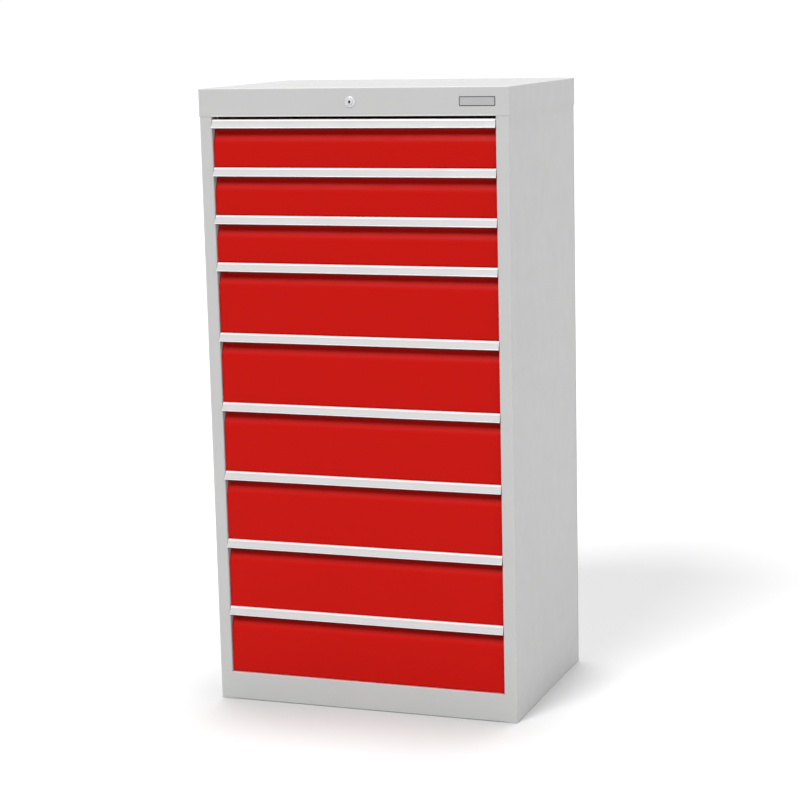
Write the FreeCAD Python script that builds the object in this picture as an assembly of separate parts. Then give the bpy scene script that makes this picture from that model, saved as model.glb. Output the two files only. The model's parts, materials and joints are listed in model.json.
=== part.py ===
"""Steel cabinet with nine full-width drawers for microscope slides.

Millimetres, +Z up. The origin is under the middle of the cabinet on the floor, and the drawers open towards -Y.
The casing, the drawers with their roller runners and the central lock are separate pieces.
"""

import FreeCAD, Part
import math
import os

Vector = FreeCAD.Vector
X = Vector(1, 0, 0)
Y = Vector(0, 1, 0)
Z = Vector(0, 0, 1)

# Cabinet
width = 680.0
depth = 480.0                # from the front plane of the posts to the back of the cover
casing_sheet = 1.2
casing_bend = 1.0            # inside radius of the casing's bends
post_width = 28.5            # visible front width of each post, up to the drawers' opening
post_return = 22.0           # depth of the post's inner return
rear_flange = 18.0
rear_recess = 4.0            # the back panel lies this far inside the back of the cover
base_height = 60.5
base_return = 25.0
fascia_height = 58.5
fascia_return = 12.0
slip = 0.2                   # running-free fit between casing pieces that slide together
seam = 0.4                   # visible joint between the cover and the posts

# Stack of drawers
shallow_pitch = 100.0
shallow_count = 3
deep_pitch = 150.0
deep_count = 6
opening_spare = 3.0          # the opening is taller than the stack by this
top_gap = 5.5                # from the cover down to the first handle
front_gap = 1.0              # from a front down to the handle or base below it
front_side_gap = 1.0

# Drawer front with its finger scoop, and the handle strip on its top edge
front_sheet = 1.0
front_bend = 1.0
face_inset = 5.0             # the flat of the front lies this far behind the posts
scoop_depth = 15.0
scoop_drop = 24.0            # height of the scoop's upright back
scoop_height = 48.5          # the scoop runs out into the flat this far below the handle's top
scoop_radius = 14.0
scoop_foot_radius = 29.0     # soft bend where the scoop runs out into the flat
handle_height = 17.7
handle_wall = 2.0
handle_bend = 0.8
handle_top_inset = 3.0       # top edge behind the posts' front plane
lip_out = 4.5                # lower edge ahead of the posts' front plane
rib_width = 1.6              # ribs along both edges hold a label strip between them
rib_out = 0.7
handle_flare = 1.0           # each end of the handle widens by this towards its lower edge, ahead of the posts

# Drawer tray
tray_sheet = 1.0
tray_length = 427.0
tray_hem = 4.0
tray_floor_gap = 10.0        # from the front's lower edge up to the tray's underside
tray_top_drop = 18.0         # from the handle's top down to the tray's rim
front_wall_drop = 10.0       # the front and rear walls are this much lower than the rim

# Roller runners
rail_depth = 11.0
rail_sheet = 1.5
rail_front_gap = 5.5         # from the drawer's front block back to the runners
runner_lift = 4.0            # from the tray's underside up to the runner
roller_radius = 10.0
roller_sides = 12            # the rollers are drawn with flats, since there are six in every drawer
roller_gap = 0.3
carriage_length = 300.0
carriage_plate = 2.0
carriage_side_gap = 0.5
roller_end_gap = 15.0        # from an end of the carriage to its roller's axle
window_margin = 3.0          # height of the plate above and below the middle roller's window

# Uprights that carry the rails
upright_width = 30.0
upright_front = 32.0         # from the front plane to the front uprights
upright_rear = 30.0          # from the back panel to the rear uprights
slot_pitch = 200.0
slot_width = 6.0
slot_height = 20.0

# Central lock
lock_hole_radius = 9.5
barrel_radius = 9.3
barrel_length = 18.0
rosette_radius = 11.5
rosette_thickness = 2.4
nut_across_flats = 24.0
nut_thickness = 3.0
plug_radius = 6.5
plug_gap = 0.05
plug_out = 1.2               # the plug's face ahead of the rosette
keyhole_height = 6.0
keyhole_width = 1.6
keyhole_depth = 7.0
cam_thickness = 2.0
cam_gap = 0.5
peg_arm = 10.0               # from the plug's axis to the peg's axis
peg_radius = 2.5
peg_gap = 0.5
lock_turn = 90.0             # degrees, half below and half above the level
bar_thickness = 3.0
bar_width = 14.0
arm_height = 20.0
bar_front_gap = 1.5          # from the post's return back to the bar
catch_gap = 0.8              # from a hook back to the drawer's catch
catch_width = 22.5
catch_height = 12.0
catch_drop = 4.0             # below the tray's rim hem
catch_sheet = 2.0
hook_height = 10.0
hook_clearance = 3.0         # below the catch while unlocked
hook_reach = 10.5            # from the opening's side plane inwards
bar_post_gap = 6.5           # from the opening's side plane out to the bar
bar_stop_gap = 0.3
guide_height = 16.0
guide_wall = 3.0
guide_gap = 0.3

# Trim and fasteners
plate_width = 76.0
plate_height = 19.0
plate_thickness = 0.8
plate_corner = 1.2
screw_across_flats = 7.0
screw_head_height = 1.6
screw_count = 4              # down each side of the back panel

# Places that follow
lean = math.atan2(handle_top_inset + lip_out, handle_height)
grip_out = lip_out + rib_out * math.cos(lean)
frame_y = (grip_out - depth) / 2
back_y = frame_y + depth
rear_y = back_y - rear_recess
opening_half = width / 2 - post_width
side_outer = width / 2 - casing_sheet - slip
side_inner = side_outer - casing_sheet
opening_top = base_height + shallow_count * shallow_pitch + deep_count * deep_pitch + opening_spare
height = opening_top + fascia_height
cover_under = height - casing_sheet
lock_z = opening_top + fascia_height / 2
front_half = opening_half - front_side_gap
front_block = scoop_depth + front_sheet
tray_front = frame_y + front_block
tray_back = tray_front + tray_length
tray_half = opening_half - 2 * (rail_depth + carriage_side_gap) - carriage_plate
rail_front = tray_front + rail_front_gap
rail_middle = (rail_front + tray_back) / 2
rail_height = 2 * (rail_sheet + roller_gap + roller_radius)
bar_front = frame_y + post_return + bar_front_gap
bar_back = bar_front + bar_thickness
bar_inner = opening_half + bar_post_gap
bar_middle = bar_inner + bar_width / 2
lock_lift = 2 * peg_arm * math.sin(math.radians(lock_turn / 2))
peg_low = -peg_arm * math.sin(math.radians(lock_turn / 2))
peg_near = peg_arm * math.cos(math.radians(lock_turn / 2))


def left_normals(points, normal):
    """Unit vectors to the left of each run of a polyline, seen against normal."""
    return [normal.cross(end - start).normalize() for start, end in zip(points, points[1:])]


def shifted_points(points, distance, normal):
    """The polyline's points after it is moved to its left by distance, with mitred corners."""
    lefts = left_normals(points, normal)
    moved = [points[0] + lefts[0] * distance]
    for corner, left, next_left in zip(points[1:], lefts, lefts[1:]):
        moved.append(corner + (left + next_left) * (distance / (1 + left.dot(next_left))))
    moved.append(points[-1] + lefts[-1] * distance)
    return moved


def rounded_edges(points, radii):
    """Edges of an open polyline with a tangent arc of the given radius at each inner corner.

    A corner whose radius is 0 stays sharp.
    """
    edges = []
    start = points[0]
    for before, corner, after, radius in zip(points, points[1:], points[2:], radii):
        if radius == 0:
            edges.append(Part.LineSegment(start, corner).toShape())
            start = corner
            continue
        back = (before - corner).normalize()
        ahead = (after - corner).normalize()
        half = back.getAngle(ahead) / 2
        enter = corner + back * (radius / math.tan(half))
        leave = corner + ahead * (radius / math.tan(half))
        middle = corner + (back + ahead).normalize() * (radius / math.sin(half) - radius)
        edges.append(Part.LineSegment(start, enter).toShape())
        edges.append(Part.Arc(enter, middle, leave).toShape())
        start = leave
    edges.append(Part.LineSegment(start, points[-1]).toShape())
    return edges


def bend_radii(points, thickness, bends, normal):
    """Radii of both faces of a bent sheet: of the drawn line, and of the line to its left.

    bends holds each corner's inside radius, or None for a corner that is sharp on both faces.
    """
    lefts = left_normals(points, normal)
    drawn = []
    shifted = []
    for left, next_left, bend in zip(lefts, lefts[1:], bends):
        if bend is None:
            drawn.append(0)
            shifted.append(0)
            continue
        turns_left = left.cross(next_left).dot(normal) > 0
        drawn.append(bend + thickness if turns_left else bend)
        shifted.append(bend if turns_left else bend + thickness)
    return drawn, shifted


def closed_face(edges):
    """A flat face inside edges that meet end to end."""
    return Part.Face(Part.Wire(Part.__sortEdges__(edges)))


def bent_sheet(points, thickness, bends, normal, length):
    """Sheet metal bent along a polyline, thickened to its left and drawn out along normal."""
    drawn_radii, shifted_radii = bend_radii(points, thickness, bends, normal)
    shifted = shifted_points(points, thickness, normal)
    edges = rounded_edges(points, drawn_radii) + rounded_edges(shifted, shifted_radii)
    edges.append(Part.LineSegment(points[0], shifted[0]).toShape())
    edges.append(Part.LineSegment(points[-1], shifted[-1]).toShape())
    return closed_face(edges).extrude(normal * length)


def box(low, high):
    """A box between two opposite corners, given as (x, y, z)."""
    return Part.makeBox(high[0] - low[0], high[1] - low[1], high[2] - low[2], Vector(*low))


def prism(sides, corner_radius, centre, path):
    """A regular prism with one corner straight below its axis, which runs from centre along path."""
    corner = centre - Z * corner_radius
    turn = FreeCAD.Rotation(path, 360 / sides)
    corners = [corner]
    for _ in range(sides):
        corners.append(centre + turn.multVec(corners[-1] - centre))
    return Part.Face(Part.makePolygon(corners[:sides] + [corner])).extrude(path)


def mirrored(shape):
    """The shape on the other side of the cabinet's middle plane."""
    return shape.mirror(Vector(0, 0, 0), X)


def pair(shape):
    """A piece and its mirror image as two solids."""
    return Part.makeCompound([mirrored(shape), shape])


def drawer_levels():
    """Height of each handle's top and of the lower edge of its front, from the top drawer down."""
    tops = [opening_top - top_gap]
    for pitch in [shallow_pitch] * shallow_count + [deep_pitch] * (deep_count - 1):
        tops.append(tops[-1] - pitch)
    below = tops[1:] + [base_height]
    return [(top, limit + front_gap) for top, limit in zip(tops, below)]


def side_panel():
    """Right side: inner return, front post, wall and rear flange bent from one sheet."""
    points = [
        Vector(opening_half, frame_y + post_return, 0),
        Vector(opening_half, frame_y, 0),
        Vector(side_outer, frame_y, 0),
        Vector(side_outer, rear_y - casing_sheet, 0),
        Vector(side_outer - rear_flange, rear_y - casing_sheet, 0),
    ]
    top = cover_under - casing_bend
    panel = bent_sheet(points, casing_sheet, [casing_bend] * 3, Z, top)
    fascia_room = casing_sheet + casing_bend + slip
    low = (opening_half - slip, frame_y, opening_top - seam)
    return panel.cut(box(low, (width / 2, frame_y + fascia_room, height)))


def top_cover():
    """Top sheet with a deep flange all round and a return under the front one."""
    outer = box((-width / 2, frame_y, opening_top), (width / 2, back_y, height))
    half = width / 2 - casing_sheet
    low = (-half, frame_y + casing_sheet, opening_top - casing_sheet)
    inner = box(low, (half, back_y - casing_sheet, cover_under))
    outer = outer.makeFillet(casing_bend + casing_sheet, upper_edges(outer))
    return_half = opening_half - slip
    low = (-return_half, frame_y + casing_sheet, opening_top)
    fascia_foot = box(low, (return_half, frame_y + fascia_return, opening_top + casing_sheet))
    hole = Part.makeCylinder(lock_hole_radius, 2 * casing_sheet, Vector(0, frame_y - slip, lock_z), Y)
    return outer.cut(inner).fuse(fascia_foot).cut(hole).removeSplitter()


def upper_edges(solid):
    """All edges of a box apart from the four around its underside."""
    return [edge for edge in solid.Edges if edge.BoundBox.ZMax > solid.BoundBox.ZMin + casing_sheet]


def back_panel():
    """Flat sheet over the rear flanges, up inside the cover."""
    low = (-side_outer, rear_y - casing_sheet, 0)
    return box(low, (side_outer, rear_y, cover_under - casing_bend))


def base_panel():
    """Rear flange, floor, front band and its return on the ground, bent from one sheet."""
    half = side_inner - casing_bend
    rear = rear_y - 2 * casing_sheet
    points = [
        Vector(-half, rear, 0),
        Vector(-half, rear, base_height),
        Vector(-half, frame_y, base_height),
        Vector(-half, frame_y, 0),
        Vector(-half, frame_y + base_return, 0),
    ]
    panel = bent_sheet(points, casing_sheet, [casing_bend] * 3, X, 2 * half)
    post_back = frame_y + post_return + slip
    notch = box((opening_half, frame_y, 0), (width / 2, post_back, base_height))
    return panel.cut(notch).cut(mirrored(notch))


def upright(front):
    """Right upright of a C section with a column of slots, open towards the casing's side."""
    points = [
        Vector(side_inner, front + upright_width, base_height),
        Vector(opening_half, front + upright_width, base_height),
        Vector(opening_half, front, base_height),
        Vector(side_inner, front, base_height),
    ]
    length = cover_under - base_height
    column = bent_sheet(points, casing_sheet, [casing_bend] * 2, Z, length)
    middle = front + upright_width / 2
    slots = []
    for step in range(1, int(length / slot_pitch)):
        centre = base_height + step * slot_pitch
        low = (opening_half - slip, middle - slot_width / 2, centre - slot_height / 2)
        high = (opening_half + 2 * casing_sheet, middle + slot_width / 2, centre + slot_height / 2)
        slots.append(box(low, high))
    return column.cut(Part.makeCompound(slots))


def channel(web_x, tip_x, bottom):
    """Runner channel of a C section, from its web at web_x to its open side at tip_x."""
    low = bottom
    high = bottom + rail_height
    if tip_x > web_x:
        low, high = high, low
    points = [
        Vector(tip_x, rail_front, high),
        Vector(web_x, rail_front, high),
        Vector(web_x, rail_front, low),
        Vector(tip_x, rail_front, low),
    ]
    return bent_sheet(points, rail_sheet, [None, None], Y, tray_back - rail_front)


def cabinet_rails():
    """Right-hand rails of all drawers, each on the inner faces of the uprights."""
    rails = [
        channel(opening_half, opening_half - rail_depth, front_bottom + tray_floor_gap + runner_lift)
        for _, front_bottom in drawer_levels()
    ]
    return Part.makeCompound(rails)


def lock_housing():
    """Rosette and barrel in the fascia, with the nut that clamps them."""
    rosette_front = frame_y - rosette_thickness
    outline = [
        Vector(plug_radius + plug_gap, rosette_front, 0),
        Vector(rosette_radius - rosette_thickness, rosette_front, 0),
        Vector(rosette_radius, frame_y, 0),
        Vector(barrel_radius, frame_y, 0),
        Vector(barrel_radius, frame_y + barrel_length, 0),
        Vector(plug_radius + plug_gap, frame_y + barrel_length, 0),
    ]
    barrel = Part.Face(Part.makePolygon(outline + outline[:1])).revolve(Vector(0, 0, 0), Y, 360)
    nut_seat = Vector(0, frame_y + casing_sheet, 0)
    nut = prism(6, nut_across_flats / math.sqrt(3), nut_seat, Y * nut_thickness)
    nut = nut.cut(Part.makeCylinder(barrel_radius, depth, Vector(0, frame_y, 0), Y))
    housing = Part.makeCompound([barrel, nut])
    housing.translate(Z * lock_z)
    return housing


def lock_plug():
    """Turning plug with its keyhole."""
    front = frame_y - rosette_thickness - plug_out
    back = frame_y + barrel_length + cam_gap
    plug = Part.makeCylinder(plug_radius, back - front, Vector(0, front, lock_z), Y)
    plug = plug.makeChamfer(plug_out / 2, [plug.Edges[i] for i in ring_indices(plug, front)])
    low = (-keyhole_width / 2, front - slip, lock_z - keyhole_height / 2)
    keyhole = box(low, (keyhole_width / 2, front + keyhole_depth, lock_z + keyhole_height / 2))
    return plug.cut(keyhole)


def ring_indices(cylinder, plane_y):
    """Indices of the round edges that lie in the plane at plane_y."""
    flat = [abs(edge.BoundBox.YMax - plane_y) + abs(edge.BoundBox.YMin - plane_y) for edge in cylinder.Edges]
    return [index for index, distance in enumerate(flat) if distance < plug_gap]


def lock_cam():
    """Cam plate behind the barrel with the peg that lifts the locking bar."""
    plate_front = frame_y + barrel_length + cam_gap
    plate_back = plate_front + cam_thickness
    hub = Part.makeCylinder(plug_radius, cam_thickness, Vector(0, plate_front, lock_z), Y)
    peg_centre = Vector(peg_near, plate_front, lock_z + peg_low)
    tip = Part.makeCylinder(2 * peg_radius, cam_thickness, peg_centre, Y)
    link = box((0, plate_front, -2 * peg_radius), (peg_arm, plate_back, 2 * peg_radius))
    link.rotate(Vector(0, 0, 0), Y, lock_turn / 2)
    link.translate(Z * lock_z)
    peg = Part.makeCylinder(peg_radius, bar_back - plate_front, peg_centre, Y)
    return hub.fuse([tip, link, peg]).removeSplitter()


def catch_top(handle_top):
    """Top of the catch on a drawer whose handle's top is at handle_top."""
    return handle_top - tray_top_drop - catch_drop


def locking_bar():
    """Upright bar with a hook for each drawer, and the arm that the lock's peg lifts."""
    levels = drawer_levels()
    arm_middle = lock_z + peg_low
    arm_low = arm_middle - arm_height / 2
    bar = box((bar_inner, bar_front, base_height + bar_stop_gap), (bar_inner + bar_width, bar_back, arm_low))
    slot_start = peg_near - peg_radius - peg_gap
    slot_half = peg_radius + peg_gap
    arm_start = slot_start - arm_height / 2
    arm = box((arm_start, bar_front, arm_low), (bar_inner + bar_width, bar_back, arm_low + arm_height))
    low = (slot_start, bar_front, arm_middle - slot_half)
    slot = box(low, (peg_arm + slot_half, bar_back, arm_middle + slot_half))
    pieces = [bar, arm.cut(slot)]
    for handle_top, _ in levels:
        hook_top = catch_top(handle_top) - catch_height - hook_clearance
        low = (opening_half - hook_reach, bar_front, hook_top - hook_height)
        pieces.append(box(low, (bar_inner, bar_back, hook_top)))
    return Part.makeCompound(pieces)


def bar_guides():
    """Plastic guides that hold the bar against the front upright, at the middle and both ends."""
    levels = drawer_levels()
    seat = frame_y + upright_front
    half = bar_width / 2 + guide_gap + guide_wall
    guides = []
    for _, front_bottom in (levels[0], levels[len(levels) // 2], levels[-1]):
        low_z = front_bottom + tray_floor_gap
        front = bar_front - guide_wall
        block = box((bar_middle - half, front, low_z), (bar_middle + half, seat, low_z + guide_height))
        inner = bar_width / 2 + guide_gap
        low = (bar_middle - inner, bar_front - guide_gap, low_z)
        room = box(low, (bar_middle + inner, bar_back + guide_gap, low_z + guide_height))
        mouth_half = bar_width / 2 - guide_wall
        low = (bar_middle - mouth_half, front, low_z)
        mouth = box(low, (bar_middle + mouth_half, bar_front, low_z + guide_height))
        guides.append(block.cut(room).cut(mouth))
    return Part.makeCompound(guides)


def nameplate():
    """Blank plate at the right end of the fascia."""
    low = (opening_half - plate_width, frame_y - plate_thickness, lock_z - plate_height / 2)
    plate = box(low, (opening_half, frame_y, lock_z + plate_height / 2))
    corners = [edge for edge in plate.Edges if abs(edge.Vertexes[0].Y - edge.Vertexes[-1].Y) > plate_thickness / 2]
    return plate.makeFillet(plate_corner, corners)


def casing_screws():
    """Hexagon heads of the screws that hold the back panel on the rear flanges."""
    column = side_outer - rear_flange / 2
    spacing = (opening_top - base_height) / (screw_count - 1)
    screws = []
    for step in range(screw_count):
        place = Vector(column, rear_y, base_height / 2 + step * spacing)
        screws.append(prism(6, screw_across_flats / math.sqrt(3), place, Y * screw_head_height))
    return pair(Part.makeCompound(screws))


def front_points(handle_top, front_bottom):
    """Visible face of a front, from the top of the scoop down to the return along its foot."""
    face_y = frame_y + face_inset
    return [
        Vector(0, frame_y + scoop_depth, handle_top - handle_wall),
        Vector(0, frame_y + scoop_depth, handle_top - scoop_drop),
        Vector(0, face_y, handle_top - scoop_height),
        Vector(0, face_y, front_bottom),
        Vector(0, tray_front, front_bottom),
    ]


def drawer_front(handle_top, front_bottom):
    """Bent front with the finger scoop across its top, closed by a wall at each end."""
    points = front_points(handle_top, front_bottom)
    bends = [scoop_radius, scoop_foot_radius, front_bend]
    skin = bent_sheet(points, front_sheet, bends, X, 2 * front_half)
    skin.translate(X * -front_half)
    face_radii, _ = bend_radii(points, front_sheet, bends, X)
    edges = rounded_edges(points, face_radii)
    back_top = Vector(0, tray_front, points[0].z)
    edges.append(Part.LineSegment(points[0], back_top).toShape())
    edges.append(Part.LineSegment(back_top, points[-1]).toShape())
    wall = closed_face(edges).extrude(X * front_sheet)
    wall.translate(X * (front_half - front_sheet))
    return skin.fuse([wall, mirrored(wall)]).removeSplitter()


def handle_points(handle_top):
    """Outer face of the handle strip, from its lower edge over the top to the front's back."""
    return [
        Vector(0, tray_front, handle_top),
        Vector(0, frame_y + handle_top_inset, handle_top),
        Vector(0, frame_y - lip_out, handle_top - handle_height),
    ]


def drawer_handle(handle_top):
    """Leaning grip strip with a rib along both edges, slanted ends and a flange over the front's top."""
    points = handle_points(handle_top)
    length = 2 * (front_half + handle_flare)
    strip = bent_sheet(points, handle_wall, [handle_bend], X, length)
    down = (points[2] - points[1]).normalize()
    rib_starts = (points[1] + down * (handle_wall + handle_bend), points[2] - down * rib_width)
    ribs = [bent_sheet([start, start + down * rib_width], -rib_out, [], X, length) for start in rib_starts]
    handle = strip.fuse(ribs).removeSplitter()
    handle.translate(X * -length / 2)
    right = [
        Vector(front_half, tray_front, handle_top),
        Vector(front_half, points[1].y, handle_top),
        Vector(front_half + handle_flare, frame_y - grip_out, handle_top),
    ]
    left = [Vector(-point.x, point.y, handle_top) for point in reversed(right)]
    ends = Part.Face(Part.makePolygon(right + left + right[:1])).extrude(Z * -2 * handle_height)
    return handle.common(ends)


def drawer_tray(handle_top, front_bottom):
    """Open tray with hemmed sides, its two runners and the catch for the locking bar."""
    underside = front_bottom + tray_floor_gap
    rim = handle_top - tray_top_drop
    inner = tray_half - tray_sheet
    floor = underside + tray_sheet
    points = [
        Vector(-tray_half - tray_hem, tray_front, rim),
        Vector(-inner, tray_front, rim),
        Vector(-inner, tray_front, floor),
        Vector(inner, tray_front, floor),
        Vector(inner, tray_front, rim),
        Vector(tray_half + tray_hem, tray_front, rim),
    ]
    trough = bent_sheet(points, tray_sheet, [0] * 4, Y, tray_length)
    walls = [
        box((-inner, start, floor), (inner, start + tray_sheet, rim - front_wall_drop))
        for start in (tray_front, tray_back - tray_sheet)
    ]
    tray = trough.fuse(walls).removeSplitter()
    runner = channel(tray_half, tray_half + rail_depth, underside + runner_lift)
    catch_front = bar_back + catch_gap
    catch_high = catch_top(handle_top)
    low = (tray_half, catch_front, catch_high - catch_height)
    catch = box(low, (tray_half + catch_width, catch_front + catch_sheet, catch_high))
    return Part.makeCompound([tray, mirrored(runner), runner, catch])


def drawer_carriage(front_bottom):
    """Roller carriages between the cabinet's rails and the drawer's runners, one on each side.

    The rear roller runs in the cabinet's rail and the front one in the drawer's runner. The middle one reaches
    into both, so that it rolls between the rail's floor and the runner's roof.
    """
    middle = Vector(0, rail_middle, front_bottom + tray_floor_gap + runner_lift + rail_height / 2)
    outer = opening_half - rail_depth - carriage_side_gap
    inner = outer - carriage_plate
    half = Vector(0, carriage_length / 2, roller_radius + roller_gap + window_margin)
    window_half = Vector(0, roller_radius + roller_gap, roller_radius + roller_gap)
    plate = box(middle - half + X * inner, middle + half + X * outer)
    plate = plate.cut(box(middle - window_half + X * inner, middle + window_half + X * outer))
    roller_width = rail_depth - rail_sheet
    runner_side = X * (inner - roller_width)
    ahead = Y * (carriage_length / 2 - roller_end_gap)
    rollers = [
        prism(roller_sides, roller_radius, middle + X * outer + ahead, X * roller_width),
        prism(roller_sides, roller_radius, middle + runner_side - ahead, X * roller_width),
        prism(roller_sides, roller_radius, middle + runner_side, X * (carriage_plate + 2 * roller_width)),
    ]
    return pair(Part.makeCompound([plate] + rollers))


def build():
    """Every node of the cabinet by name."""
    right_side = side_panel()
    rails = cabinet_rails()
    columns = [upright(frame_y + upright_front), upright(rear_y - upright_rear - upright_width)]
    nodes = {
        "side_panel_left": mirrored(right_side),
        "side_panel_right": right_side,
        "top_cover": top_cover(),
        "back_panel": back_panel(),
        "base_panel": base_panel(),
        "mounting_uprights": pair(Part.makeCompound(columns)),
        "cabinet_rails_left": mirrored(rails),
        "cabinet_rails_right": rails,
        "lock_housing": lock_housing(),
        "lock_plug": lock_plug(),
        "lock_cam": lock_cam(),
        "locking_bar": locking_bar(),
        "bar_guides": bar_guides(),
        "nameplate": nameplate(),
        "casing_screws": casing_screws(),
    }
    for number, (handle_top, front_bottom) in enumerate(drawer_levels(), start=1):
        nodes[f"drawer_{number}_front"] = drawer_front(handle_top, front_bottom)
        nodes[f"drawer_{number}_handle"] = drawer_handle(handle_top)
        nodes[f"drawer_{number}_tray"] = drawer_tray(handle_top, front_bottom)
        nodes[f"drawer_{number}_carriage"] = drawer_carriage(front_bottom)
    return nodes


os.makedirs("parts", exist_ok=True)
for name, shape in build().items():
    shape.exportStep(f"parts/{name}.step")
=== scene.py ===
"""Looks of a nine-drawer steel slide cabinet, built around its packed construction.

Lengths are metres in the cabinet's own frame: the fronts face -Y, and the floor is at z = 0.
"""

import json
import logging
import math
from collections.abc import Callable, Iterable, Sequence
from dataclasses import dataclass, replace
from enum import Enum

import bmesh
import bpy
from bmesh.types import BMesh
from bpy.types import ID, Material, Mesh, Node, NodeOutputs, NodeSocket, NodeTree, Object
from mathutils import Matrix, Vector

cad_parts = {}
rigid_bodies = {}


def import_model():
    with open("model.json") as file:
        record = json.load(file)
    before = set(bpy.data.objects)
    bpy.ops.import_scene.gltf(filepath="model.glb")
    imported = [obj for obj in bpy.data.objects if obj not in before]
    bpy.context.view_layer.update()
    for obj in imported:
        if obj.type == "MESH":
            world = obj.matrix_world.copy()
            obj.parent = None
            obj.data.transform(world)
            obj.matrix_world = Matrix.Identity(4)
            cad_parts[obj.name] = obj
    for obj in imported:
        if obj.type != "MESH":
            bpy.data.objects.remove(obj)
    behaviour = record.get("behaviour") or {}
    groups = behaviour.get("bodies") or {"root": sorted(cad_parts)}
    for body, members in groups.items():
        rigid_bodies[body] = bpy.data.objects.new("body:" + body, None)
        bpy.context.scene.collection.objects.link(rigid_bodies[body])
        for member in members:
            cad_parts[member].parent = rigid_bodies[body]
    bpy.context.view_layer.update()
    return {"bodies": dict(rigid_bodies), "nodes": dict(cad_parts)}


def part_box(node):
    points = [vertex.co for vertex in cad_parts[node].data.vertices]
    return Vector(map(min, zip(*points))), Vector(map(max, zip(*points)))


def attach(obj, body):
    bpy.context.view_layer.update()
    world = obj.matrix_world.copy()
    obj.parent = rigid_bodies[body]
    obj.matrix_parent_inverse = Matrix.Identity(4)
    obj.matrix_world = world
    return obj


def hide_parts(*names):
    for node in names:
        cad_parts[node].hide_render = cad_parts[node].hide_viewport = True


LOG = logging.getLogger("cabinet")
MM = 0.001
SMALL_BEVEL = 0.0001
Point2 = tuple[float, float]
Colour = tuple[float, float, float]


@dataclass(frozen=True)
class Pattern:
    """Noise, or crystal cells, in object coordinates: cells per metre, octaves and stretch."""

    scale: float
    octaves: float = 3.0
    stretch: Colour = (1.0, 1.0, 1.0)
    cells: bool = False


def add_node(
    tree: NodeTree,
    kind: str,
    inputs: dict[str | int, object] | None = None,
    **options: object,
) -> Node:
    """Adds a node to a tree and fills its inputs.

    Args:
        tree: Tree that takes it.
        kind: The node's type name.
        inputs: Value or output socket for each input.
        **options: Attributes set on the node itself.

    Returns:
        The new node.
    """
    node = tree.nodes.new(kind)
    for option, value in options.items():
        setattr(node, option, value)
    for socket, value in (inputs or {}).items():
        if isinstance(value, NodeSocket):
            tree.links.new(value, node.inputs[socket])
        else:
            node.inputs[socket].default_value = value
    return node


class NodeGraph:
    """Thin layer over a shader node tree that adds and links nodes in one line."""

    def __init__(self, name: str) -> None:
        """Starts a material with only its output and a Principled shader.

        Args:
            name: The material's name.
        """
        self.material = bpy.data.materials.new(name)
        self.material.use_nodes = True
        self.tree = self.material.node_tree
        self.tree.nodes.clear()
        self.shader = self.tree.nodes.new("ShaderNodeBsdfPrincipled")
        output = self.tree.nodes.new("ShaderNodeOutputMaterial")
        self.tree.links.new(self.shader.outputs["BSDF"], output.inputs["Surface"])

    def pattern(self, pattern: Pattern) -> NodeSocket:
        """Adds a pattern.

        Args:
            pattern: What it looks like.

        Returns:
            A factor between 0 and 1.
        """
        where = add_node(self.tree, "ShaderNodeTexCoord").outputs["Object"]
        stretched = add_node(self.tree, "ShaderNodeMapping", {"Vector": where, "Scale": pattern.stretch})
        inputs = {"Vector": stretched.outputs["Vector"], "Scale": pattern.scale}
        if pattern.cells:
            return add_node(self.tree, "ShaderNodeTexVoronoi", inputs).outputs["Distance"]
        inputs |= {"Detail": pattern.octaves}
        return add_node(self.tree, "ShaderNodeTexNoise", inputs).outputs["Fac"]

    def roughened(self, factor: NodeSocket, low: float, high: float) -> None:
        """Lets the roughness drift over a range.

        Args:
            factor: A factor that keeps mostly between 0.3 and 0.7.
            low: Roughness at the low end.
            high: Roughness at the high end.
        """
        inputs = {"Value": factor, "From Min": 0.3, "From Max": 0.7, "To Min": low, "To Max": high}
        spread = add_node(self.tree, "ShaderNodeMapRange", inputs)
        self.tree.links.new(spread.outputs["Result"], self.shader.inputs["Roughness"])

    def tinted(self, colour: Colour, spread: float, factor: NodeSocket) -> None:
        """Lets the base colour drift round a middle value.

        Args:
            colour: Middle colour, linear.
            spread: Share by which it gets darker and lighter.
            factor: Where between the two it is.
        """
        dark = tuple(channel * (1 - spread) for channel in colour) + (1.0,)
        light = tuple(min(1.0, channel * (1 + spread)) for channel in colour) + (1.0,)
        mix = add_node(self.tree, "ShaderNodeMix", {"Factor": factor, 6: dark, 7: light}, data_type="RGBA")
        self.tree.links.new(mix.outputs[2], self.shader.inputs["Base Color"])

    def bump(self, height: NodeSocket, distance: float, below: Node | None = None) -> Node:
        """Adds relief.

        Args:
            height: Height between 0 and 1.
            distance: Relief in metres.
            below: A bump node whose relief this one rides on.

        Returns:
            The bump node, linked to the shader.
        """
        inputs: dict[str, object] = {"Height": height, "Distance": distance, "Strength": 1.0}
        if below is not None:
            inputs["Normal"] = below.outputs["Normal"]
        node = add_node(self.tree, "ShaderNodeBump", inputs)
        self.tree.links.new(node.outputs["Normal"], self.shader.inputs["Normal"])
        return node

    def set(self, **values: float) -> None:
        """Sets sockets of the shader that are the same all over.

        Args:
            **values: Value for each socket, by its name with underscores for spaces.
        """
        for name, value in values.items():
            self.shader.inputs[name.replace("_", " ")].default_value = value


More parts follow.
